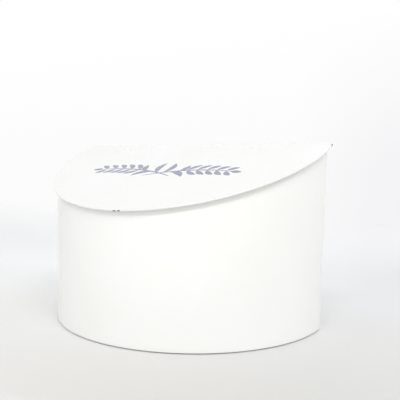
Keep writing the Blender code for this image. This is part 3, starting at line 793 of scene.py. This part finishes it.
# %% Make the back panel
ring_points, ring_faces = vent_rings()
points = np.vstack([panel_points, ring_points])
faces = np.vstack([panel_faces, ring_faces + len(panel_points)])
points, faces = only_used(points, faces)
back_finish = {"shell": SHEET, "soft_edge": HOLE_EDGE}
add_piece("enamel_back", points, faces, body_enamel, "bin", "back_panel", "body_enamel", **back_finish)

# %% [markdown]
# ## Turned pieces
#
# Feet, rivets and hinge pins are round: each is a profile of radius and height turned once round an axis.
# One function makes them all, and each place has its own three directions, so that a rivet can point out of
# the back or out of the lid.


# %% Turn a profile round an axis
def turned(profile, origin, axis, sides=40):
    """Grid of points origin + radius * (cos a * first + sin a * second) + height * axis, where first and
    second are square to the axis and to each other."""
    profile = np.asarray(profile)
    axis = np.asarray(axis, float)
    helper = np.array([1.0, 0.0, 0.0]) if abs(axis[0]) < 0.9 else np.array([0.0, 0.0, 1.0])
    first = unit(np.cross(axis, helper))
    second = np.cross(axis, first)
    angle = np.linspace(0, 2 * np.pi, sides + 1)
    ring = np.cos(angle)[:, None] * first + np.sin(angle)[:, None] * second
    return np.asarray(origin) + profile[:, 0, None, None] * ring[None] + profile[:, 1, None, None] * axis


def dome(radius, height, base, steps=8, upwards=1):
    """Profile of a rounded head: radius * cos a and base + height * sin a, from the rim to the top."""
    angle = np.linspace(0, math.pi / 2, steps + 1)
    return np.stack([radius * np.cos(angle), base + upwards * height * np.sin(angle)], axis=1)


# %% Make the rubber feet
FOOT_RADIUS, FOOT_ROUND = 0.008, 0.001
STEM_RADIUS, BULB_RADIUS, BULB_HEIGHT = 0.0025, 0.0042, 0.002
HOLLOW_RADIUS, HOLLOW_SLOPE, HOLLOW_DEPTH = 0.0044, 0.0006, 0.0006
FOOT_INSET = 0.032
FRONT_SHARE, REAR_SETBACK = 0.86, 0.030
pan_under = PAN_FLOOR - SHEET - GAP
pan_over = PAN_FLOOR + GAP
bulb = dome(BULB_RADIUS, BULB_HEIGHT, pan_over)[::-1]
shoulder, _ = arc((FOOT_RADIUS - FOOT_ROUND, pan_under - FOOT_ROUND), FOOT_ROUND, math.pi / 2, 0, 5)
tread, _ = arc((FOOT_RADIUS - FOOT_ROUND, FOOT_ROUND), FOOT_ROUND, 0, -math.pi / 2, 5)
stem = [[STEM_RADIUS, pan_over], [STEM_RADIUS, pan_under]]
hollow = [[HOLLOW_RADIUS + HOLLOW_SLOPE, 0.0], [HOLLOW_RADIUS, HOLLOW_DEPTH], [0.0, HOLLOW_DEPTH]]
foot_profile = np.vstack([bulb, stem, shoulder, tread, hollow])
reach = WIDTH / 2 - FOOT_INSET
for row, back_off in (("front", reach * FRONT_SHARE), ("rear", REAR_SETBACK)):
    foot_x = math.sqrt(reach**2 - back_off**2)
    for side, place_x in (("left", -foot_x), ("right", foot_x)):
        foot = turned(foot_profile, (place_x, BACK_Y - back_off, 0.0), (0, 0, 1))
        node = f"foot_{row}_{side}"
        add_surface("rubber_" + node, foot, rubber, "bin", node, "foot_rubber")

# %% [markdown]
# ## The hinges
#
# A butt hinge is two leaves of thin sheet, each with its upper edge curled round the pin. The leaf's section
# is a straight line that runs on into an arc round the axis. Where the other leaf has its knuckle, the quads
# of the curl are left out. The lower corners are rounded by letting the lowest row follow a quarter circle.
# The rivets in the back are bare and round. Those in the lid were set before the glass was fired, so that it
# runs over their heads in one soft swelling.

# %% Lay out one leaf
HINGE_SHARE = 0.55
HINGE_X = WIDTH / 2 * HINGE_SHARE
HINGE_WIDTH = 0.050
RIVET_ACROSS = 0.016
LEAF_LENGTH = 0.024
LEAF_CORNER = 0.004
LID_KNUCKLE = 0.020
KNUCKLE_GAP = 0.0004
LEAF_MIDDLE = KNUCKLE_RADIUS - LEAF_THICKNESS / 2
CURL_END = math.radians(-120)
CURL_STEPS = 32


def leaf_columns():
    """Places across a leaf, close together in its two corners, and how low the leaf reaches at each."""
    half, knuckle = HINGE_WIDTH / 2, LID_KNUCKLE / 2
    corner_x = half - LEAF_CORNER + LEAF_CORNER * np.sin(np.linspace(0, math.pi / 2, 6))
    right = np.concatenate([[0, knuckle / 2, knuckle, knuckle + KNUCKLE_GAP, RIVET_ACROSS], corner_x])
    across = np.concatenate([-right[:0:-1], right])
    past = np.clip(np.abs(across) - (half - LEAF_CORNER), 0, LEAF_CORNER)
    return across, -LEAF_LENGTH + LEAF_CORNER - np.sqrt(LEAF_CORNER**2 - past**2)


def leaf_grid(curl_outside):
    """Points (across, out, up) and faces of a leaf that hangs below its pin; the curl is an arc round (0, 0),
    and the leaf keeps it either outside the middle knuckle or inside it."""
    across, lowest = leaf_columns()
    share = np.array([0, 0.15, 0.4, 0.7, 1])
    flat_z = lowest[:, None] * (1 - share) - KNUCKLE_RADIUS * share
    flat_z = np.column_stack([flat_z, np.zeros(len(across))])
    angle = np.linspace(math.pi, CURL_END, CURL_STEPS + 1)[1:]
    curl = LEAF_MIDDLE * np.stack([np.cos(angle), np.sin(angle)])[:, None, :].repeat(len(across), axis=1)
    y = np.column_stack([np.full(flat_z.shape, -LEAF_MIDDLE), curl[0]])
    z = np.column_stack([flat_z, curl[1]])
    points = np.stack([np.broadcast_to(across[:, None], y.shape), y, z], axis=-1)
    faces = grid_faces(*y.shape)
    row = faces[:, 0] % y.shape[1]
    points = points.reshape(-1, 3)
    middle_x = np.abs(points[faces, 0].mean(axis=1))
    cut = (LID_KNUCKLE + KNUCKLE_GAP) / 2
    has_curl = middle_x > cut if curl_outside else middle_x < LID_KNUCKLE / 2
    return only_used(points, faces[(row < len(share) - 1) | has_curl])


# %% Lay out pins, rivets and plates
PIN_END = HINGE_WIDTH / 2 + GAP
SHANK_RADIUS = 0.0012
HEAD_HEIGHT = 0.0010 + GAP
TAIL_RADIUS, TAIL_HEIGHT = 0.0023, 0.0008 + GAP
PIN_HEAD_RADIUS, PIN_HEAD_HEIGHT = 0.0019, 0.0008
RIVETS = np.array([[-RIVET_ACROSS, 0.0140], [RIVET_ACROSS, 0.0140], [0.0, 0.0195]])
pin_head = dome(PIN_HEAD_RADIUS, PIN_HEAD_HEIGHT, PIN_END)
pin_half = np.vstack([pin_head[::-1], [[SHANK_RADIUS, PIN_END]]])
pin_profile = np.vstack([pin_half, pin_half[::-1] * [1, -1]])


def glazed_head(radius, height, base, steps=14):
    """Profile of a head under glass: base + height * (1 - (r / radius) ** 2) ** 2, flat at top and rim."""
    share = np.linspace(1, 0, steps + 1)
    return np.stack([radius * share, base + height * (1 - share**2) ** 2], axis=1)


def rivet_profile(grip, head):
    """A head that sits on the sheet, a shank, and a tail closed down on the other side."""
    low = -grip - GAP
    tail = dome(TAIL_RADIUS, TAIL_HEIGHT, low, upwards=-1)
    return np.vstack([head[::-1], [[SHANK_RADIUS, -GAP], [SHANK_RADIUS, low]], tail])


def rounded_plate(low, high, radius):
    """Middle sheet of a plate: rings that shrink from a rounded rectangle towards its middle."""
    corners = [(high[0], high[1]), (low[0], high[1]), (low[0], low[1]), (high[0], low[1])]
    inward = [(-1, -1), (1, -1), (1, 1), (-1, 1)]
    middles = np.array(corners) + np.array(inward) * radius
    starts = np.arange(4) * math.pi / 2
    runs = [arc(middle, radius, a, a + math.pi / 2, 6)[0] for a, middle in zip(starts, middles)]
    return rings(np.vstack(runs), (np.asarray(low) + np.asarray(high)) / 2, (0, 0.5, 0.9, 1))


# %% Make the leaves, pin and inside plate of a hinge
THIN_METAL = {"shell": LEAF_THICKNESS, "soft_edge": THIN_EDGE}
PLATE_CORNER = 0.0023


def add_hinge(side, hinge_x):
    """The body's leaf, the lid's leaf, the pin between them and the plate inside the back panel."""
    points, faces = leaf_grid(curl_outside=True)
    points = points + [hinge_x, AXIS_Y, AXIS_Z]
    node = side + "_body_leaf"
    add_piece(side + "_leaf_on_back", points, faces, zinc, "bin", node, "hinge_steel", **THIN_METAL)
    points, faces = leaf_grid(curl_outside=False)
    points = on_lid(points[:, 0] + hinge_x, points[:, 2], -points[:, 1])
    node = side + "_lid_leaf"
    add_piece(side + "_leaf_under_lid", points, faces, zinc, "lid", node, "hinge_steel", **THIN_METAL)
    pin = turned(pin_profile, (hinge_x, AXIS_Y, AXIS_Z), (1, 0, 0), 24)
    add_surface(side + "_pin", pin, zinc, "bin", side + "_hinge_pin", "hinge_steel")
    node = side + "_backing_plate"
    low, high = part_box(node)
    plan = rounded_plate((low.x, low.z), (high.x, high.z), PLATE_CORNER)
    level = np.full(plan.shape[:2], (low.y + high.y) / 2)
    plate = np.stack([plan[..., 0], level, plan[..., 1]], axis=-1)
    name = side + "_plate_inside"
    add_surface(name, plate, zinc, "bin", node, "hinge_steel", wrap=True, **THIN_METAL)


# %% Make both hinges with their rivets
BARE_RADIUS, GLAZED_RADIUS, GLASS_OVERLAP = 0.0029, 0.0032, 0.00004
bare_head = dome(BARE_RADIUS, HEAD_HEIGHT, -GAP)
glass_head = glazed_head(GLAZED_RADIUS, HEAD_HEIGHT, -GAP - GLASS_OVERLAP)
body_rivet = rivet_profile(2 * LEAF_THICKNESS + SHEET + 2 * GAP, bare_head)
lid_rivet = rivet_profile(LEAF_THICKNESS + SHEET + GAP, glass_head)
seat_y = AXIS_Y - KNUCKLE_RADIUS + LEAF_THICKNESS + GAP
for side, hinge_x in (("left", -HINGE_X), ("right", HINGE_X)):
    add_hinge(side, hinge_x)
    for number, (across, down) in enumerate(RIVETS, 1):
        rivet = turned(body_rivet, (hinge_x + across, seat_y, AXIS_Z - down), (0, 1, 0), 32)
        node = f"{side}_body_rivet_{number}"
        add_surface(f"{side}_back_rivet_{number}", rivet, zinc, "bin", node, "hinge_steel")
        seat = on_lid(hinge_x + across, -down, LID_TOP + GAP)
        rivet = turned(lid_rivet, seat, (0, -SIN, COS), 32)
        node = f"{side}_lid_rivet_{number}"
        add_surface(f"{side}_top_rivet_{number}", rivet, lid_enamel, "lid", node, "lid_enamel")

# %% [markdown]
# ## The printed ornament
#
# The lid carries a greyish blue overprint near its middle. Here it is a plain pair of wheat ears that lie
# stem over stem and point outwards, mirrored left and right, with a few blades. Each grain and blade is the
# same shape: a stroke along a bent line, whose width swells and tapers. All strokes of one kind are worked
# out together, as one array.

# %% The colour of the print
PRINT_COLOUR = (0.265, 0.27, 0.38)
PRINT_THICKNESS = 0.00006
PRINT_MIDDLE = -0.107
print_blue = enamel("print_blue", PRINT_COLOUR, rub=0.2)
print("print", PRINT_THICKNESS * 1000, "mm thick")


# %% Bend a line
def sideways(direction):
    """The directions in the lid's plane, each turned a quarter to the left."""
    return np.stack([-direction[..., 1], direction[..., 0]], axis=-1)


def bent_line(start, end, bend, t):
    """Points start + t * (end - start) + bend * 4t(1 - t) sideways, and the line's direction at them."""
    run = end - start
    side = sideways(unit(run)) * bend
    return start + run * t + side * (4 * t * (1 - t)), unit(run + side * (4 * (1 - 2 * t)))


# %% Draw strokes
def strokes(start, end, bend, width, blunt, steps=16):
    """Bent lines that are width * sin(pi * t) ** blunt wide at share t. Each is a closed shell with a low
    crown, given by its points in the lid's plane and how high they lie on it."""
    bend, width = (np.broadcast_to(value, len(start))[:, None, None] for value in (bend, width))
    t = np.linspace(0, 1, steps + 1)[None, :, None]
    middle, direction = bent_line(start[:, None], end[:, None], bend, t)
    across = sideways(direction)
    half = width / 2 * np.sin(np.pi * t) ** blunt
    angle = np.linspace(0, 2 * np.pi, 9)
    plan = middle[:, :, None] + across[:, :, None] * (half[..., None] * np.cos(angle)[None, None, :, None])
    lift = PRINT_THICKNESS * np.sin(angle) * np.sin(np.pi * t) ** 0.5
    return plan, np.broadcast_to(lift, plan.shape[:3])


def mirrored(points):
    """The places, and the same places on the other side of the lid's middle line."""
    return np.vstack([points, points * [-1, 1]])


def mirrored_strokes(start, end, bend, width, **shape):
    """The strokes and their mirror images, which bend the other way."""
    bend = np.broadcast_to(bend, len(start))
    return strokes(mirrored(start), mirrored(end), np.concatenate([bend, -bend]), width, **shape)


# %% Follow the stalk
STALK_START = np.array([-0.022, PRINT_MIDDLE - 0.017])
STALK_END = np.array([0.103, PRINT_MIDDLE + 0.003])
STALK_BEND, STALK_WIDTH = 0.011, 0.0034


def along_stalk(share):
    """Points of the right stalk at shares of its length, and its direction there."""
    return bent_line(STALK_START, STALK_END, STALK_BEND, np.asarray(share)[:, None])


def branches(share, lean, length, stand_off=0.0):
    """Start and end of branches that leave the right stalk at the given shares, turned by lean from it."""
    point, direction = along_stalk(share)
    cos_lean, sin_lean = np.cos(lean)[:, None], np.sin(lean)[:, None]
    heading = direction * cos_lean + sideways(direction) * sin_lean
    start = point + sideways(direction) * np.sign(sin_lean) * stand_off
    return start, start + heading * np.asarray(length)[:, None]


# %% Lay out the two ears and their blades
GRAIN_PAIRS = 5
GRAIN_FIRST, GRAIN_LAST = 0.50, 0.94
GRAIN_LEAN = math.radians(44)
GRAIN_LENGTH, GRAIN_TAPER = 0.0225, 0.012
GRAIN_WIDTH, GRAIN_BEND, GRAIN_STAND_OFF = 0.0076, 0.0020, 0.0012
TIP_SHARE, TIP_LENGTH, TIP_WIDTH = 0.98, 0.0165, 0.0080
BLADE_SHARES, BLADE_LEANS = (0.22, 0.30, 0.40), (66.0, -50.0, 58.0)
BLADE_LENGTHS, BLADE_BENDS, BLADE_WIDTH = (0.034, 0.030, 0.021), (-0.005, 0.005, -0.003), 0.0088
grain_share = np.tile(np.linspace(GRAIN_FIRST, GRAIN_LAST, GRAIN_PAIRS), 2)
grain_side = np.repeat([1.0, -1.0], GRAIN_PAIRS)
grain_length = GRAIN_LENGTH - GRAIN_TAPER * (grain_share - GRAIN_FIRST)
start, end = branches(grain_share, grain_side * GRAIN_LEAN, grain_length, GRAIN_STAND_OFF)
grains = mirrored_strokes(start, end, grain_side * GRAIN_BEND, GRAIN_WIDTH, blunt=0.75)
start, direction = along_stalk([TIP_SHARE])
tips = mirrored_strokes(start, start + direction * TIP_LENGTH, 0.0, TIP_WIDTH, blunt=0.75)
ends = (STALK_START[None], STALK_END[None])
stalks = mirrored_strokes(*ends, STALK_BEND, STALK_WIDTH, blunt=0.3, steps=60)
start, end = branches(BLADE_SHARES, np.radians(BLADE_LEANS), BLADE_LENGTHS)
blades = mirrored_strokes(start, end, BLADE_BENDS, BLADE_WIDTH, blunt=0.8, steps=28)
kinds = (grains, tips, stalks, blades)
print("ornament:", sum(len(plan) for plan, lift in kinds), "strokes")

# %% Make the ornament
all_points, all_faces, count = [], [], 0
for plan, lift in kinds:
    shapes, rows, columns = lift.shape
    all_points.append(on_lid(plan[..., 0], plan[..., 1], LID_TOP + lift).reshape(-1, 3))
    all_faces.append(copies(grid_faces(rows, columns), rows * columns, shapes) + count)
    count += len(all_points[-1])
add_piece("lid_print", np.vstack(all_points), np.vstack(all_faces), print_blue, "lid", None, "lid_enamel")

# %% [markdown]
# ## Table and backdrop
#
# The bin stands on a pale table in front of a white wall. Both are one sheet that bends up behind the bin, so
# that no hard line shows. The table is a little darker in front of the bin and to its right, and paler
# behind and to the left; the paler left is painted light, which evens out the bin's shadow that falls there.
# A white card lies on it just before the camera's view and throws light up at the wall of the bin. The
# backdrop is white paper: the camera and the glossy enamel see it at full strength, while its light on the bin
# stays that of paper.

# %% Make the sheet of the backdrop
BEND_START, BEND_RADIUS = 0.55, 0.5
NEAR_END, TOP_END, HALF_SPAN = -3.0, 4.0, 4.0
turn = np.linspace(0, math.pi / 2, 24)[1:]
bend_y = BEND_START + BEND_RADIUS * np.sin(turn)
floor_y = np.concatenate([[NEAR_END, BEND_START], bend_y, [BEND_START + BEND_RADIUS]])
floor_z = np.concatenate([[0.0, 0.0], BEND_RADIUS * (1 - np.cos(turn)), [TOP_END]])
x, y = np.meshgrid(np.linspace(-HALF_SPAN, HALF_SPAN, 9), floor_y, indexing="ij")
sheet = np.stack([x, y, np.broadcast_to(floor_z, x.shape)], axis=-1).reshape(-1, 3)
backdrop_mesh = bpy.data.meshes.new("backdrop")
backdrop_mesh.from_pydata(sheet.tolist(), [], grid_faces(*x.shape).tolist())
backdrop_mesh.shade_smooth()
add_object(backdrop_mesh)
print("backdrop:", len(sheet), "points")

# %% Colour the table and the paper
FRONT_RIGHT, FRONT_LEFT = (0.615, 0.605, 0.575, 1), (0.745, 0.735, 0.713, 1)
REAR_RIGHT, REAR_LEFT = (0.74, 0.74, 0.745, 1), (0.87, 0.875, 0.88, 1)
CARD_WHITE, PAPER_WHITE = (0.95, 0.95, 0.95, 1), (0.86, 0.86, 0.86, 1)
LEFTWARD, BACKWARD, CARD_EDGE, PAPER_EDGE = (0.25, -0.12), (-0.20, 0.25), (-0.24, -0.42), (0.0, 0.10)
paper = bpy.data.materials.new("pale_backdrop")
paper.use_nodes = True
tree = paper.node_tree
shader = tree.nodes["Principled BSDF"]
position = add_node(tree, "ShaderNodeNewGeometry").outputs["Position"]
place = add_node(tree, "ShaderNodeSeparateXYZ", {0: position}).outputs
# Painted light: the table is paler to the left, to even out the bin's shadow that falls there
leftward = add_range(tree, place["X"], *LEFTWARD)
front_tone = add_mix(tree, leftward, FRONT_RIGHT, FRONT_LEFT)
rear_tone = add_mix(tree, leftward, REAR_RIGHT, REAR_LEFT)
tone = add_mix(tree, add_range(tree, place["Y"], *BACKWARD), front_tone, rear_tone)
tone = add_mix(tree, add_range(tree, place["Y"], *CARD_EDGE), tone, CARD_WHITE)
tone = add_mix(tree, add_range(tree, place["Z"], *PAPER_EDGE), tone, PAPER_WHITE)
tree.links.new(tone, shader.inputs["Base Color"])
shader.inputs["Roughness"].default_value = 1.0
shader.inputs["Specular IOR Level"].default_value = 0.0
backdrop_mesh.materials.append(paper)

# %% Let the camera and reflections see the paper white
LOW_RIGHT, LOW_LEFT, FULL_WHITE = (0.90, 0.90, 0.915, 1), (0.97, 0.97, 0.97, 1), (1, 1, 1, 1)
WHITE_LEFTWARD, WHITE_UPWARD, GLOW_EDGE = (0.15, -0.15), (0.25, 0.75), (-0.01, 0.09)


def seen_by_eye(tree):
    """One for rays from the camera, from a gloss or through glass, and zero for light on the bin."""
    path = add_node(tree, "ShaderNodeLightPath").outputs
    seen = add_math(tree, "MAXIMUM", path["Is Camera Ray"], path["Is Glossy Ray"])
    return add_math(tree, "MAXIMUM", seen, path["Is Transmission Ray"])


# Painted shade: the paper's glow is greyer near the table and towards the right, and full white higher up
low_white = add_mix(tree, add_range(tree, place["X"], *WHITE_LEFTWARD), LOW_RIGHT, LOW_LEFT)
white = add_mix(tree, add_range(tree, place["Z"], *WHITE_UPWARD), low_white, FULL_WHITE)
glow = add_node(tree, "ShaderNodeEmission", {"Color": white, "Strength": 1.0})
glow_share = add_math(tree, "MULTIPLY", seen_by_eye(tree), add_range(tree, place["Z"], *GLOW_EDGE))
blend = add_node(tree, "ShaderNodeMixShader", {0: glow_share, 1: shader.outputs[0], 2: glow.outputs[0]})
tree.links.new(blend.outputs[0], tree.nodes["Material Output"].inputs["Surface"])
print("paper glows for the eye from the bend upwards")

# %% [markdown]
# ## Light
#
# An even pale room does most of the work: dimmer near the floor, so that the sides of the bin fall off a
# little, and dimmer straight overhead, so that the lid isn't brighter than the wall. The camera and the
# reflections see it as plain white. One lamp adds direction. It is a strip, wide but low, three metres off
# and above the camera: its width keeps the bend of the wall soft, and its low height gives the lid's
# overhang a narrow shadow.

# %% Light the room
ROOM_LOW, ROOM_HIGH = (0.58, 0.585, 0.59, 1), (0.98, 0.99, 1.0, 1)
ROOM_TOP, ROOM_SEEN = (0.45, 0.455, 0.46, 1), (0.965, 0.97, 0.975, 1)
HIGH_RISE, TOP_RISE = (0.05, 0.45), (0.72, 0.95)
ROOM_STRENGTH = 0.985
world = bpy.data.worlds.new("studio")
world.use_nodes = True
tree = world.node_tree
direction = add_node(tree, "ShaderNodeTexCoord").outputs["Generated"]
rise = add_node(tree, "ShaderNodeSeparateXYZ", {0: direction}).outputs["Z"]
room = add_mix(tree, add_range(tree, rise, *HIGH_RISE), ROOM_LOW, ROOM_HIGH)
room = add_mix(tree, add_range(tree, rise, *TOP_RISE), room, ROOM_TOP)
room = add_mix(tree, seen_by_eye(tree), room, ROOM_SEEN)
tree.links.new(room, tree.nodes["Background"].inputs["Color"])
tree.nodes["Background"].inputs["Strength"].default_value = ROOM_STRENGTH
bpy.context.scene.world = world
print("room strength", ROOM_STRENGTH)

# %% Hang the lamp
LAMP_WIDTH, LAMP_HEIGHT, LAMP_POWER = 2.7, 0.28, 43.5
LAMP_AZIMUTH, LAMP_ELEVATION, LAMP_AWAY = math.radians(34), math.radians(53), 3.0
level_part = math.cos(LAMP_ELEVATION)
across, towards = math.sin(LAMP_AZIMUTH) * level_part, -math.cos(LAMP_AZIMUTH) * level_part
bin_middle = (cad_low + cad_high) / 2
lamp = bpy.data.lights.new("soft_box", "AREA")
lamp.shape = "RECTANGLE"
lamp.size, lamp.size_y, lamp.energy = LAMP_WIDTH, LAMP_HEIGHT, LAMP_POWER
soft_box = add_object(lamp)
soft_box.location = bin_middle + Vector((across, towards, math.sin(LAMP_ELEVATION))) * LAMP_AWAY
soft_box.rotation_mode = "QUATERNION"
soft_box.rotation_quaternion = (soft_box.location - bin_middle).to_track_quat("Z", "Y")
print("lamp at", [round(value, 3) for value in soft_box.location])

# %% [markdown]
# ## Camera
#
# The camera stands to the right of the front, a little above the lid's front edge. It looks slightly down
# and is turned a degree and a half on its own axis, as in the photograph. Its place is given in widths of the
# bin, from the middle of the back's foot, and its lens and shift in pixels of a frame that is 400 wide.

# %% Make the camera
FRAME, SENSOR = 400, 36
FOCAL, SHIFT_X, SHIFT_Y = 481.0, -20.4, 26.7
YAW, PITCH, ROLL = math.radians(26.24), math.radians(5.38), math.radians(1.50)
CAMERA_PLACE = np.array([0.8974, -1.6031, 0.4966])
level_part = math.cos(PITCH)
forward = np.array([-math.sin(YAW) * level_part, math.cos(YAW) * level_part, -math.sin(PITCH)])
right = np.array([math.cos(YAW), math.sin(YAW), 0.0])
upward = np.cross(right, forward)
side_axis = right * math.cos(ROLL) + upward * math.sin(ROLL)
up_axis = upward * math.cos(ROLL) - right * math.sin(ROLL)
place = CAMERA_PLACE * WIDTH + [0, BACK_Y, 0]
matrix = np.eye(4)
matrix[:3] = np.column_stack([side_axis, up_axis, -forward, place])
camera_data = bpy.data.cameras.new("camera")
camera_data.sensor_width = SENSOR
camera_data.lens = FOCAL / FRAME * SENSOR
camera_data.shift_x, camera_data.shift_y = SHIFT_X / FRAME, SHIFT_Y / FRAME
camera = add_object(camera_data)
camera.matrix_world = Matrix(matrix.tolist())
bpy.context.scene.camera = camera
bpy.context.scene.view_settings.view_transform = "Standard"
print("camera at", place.round(3).tolist())
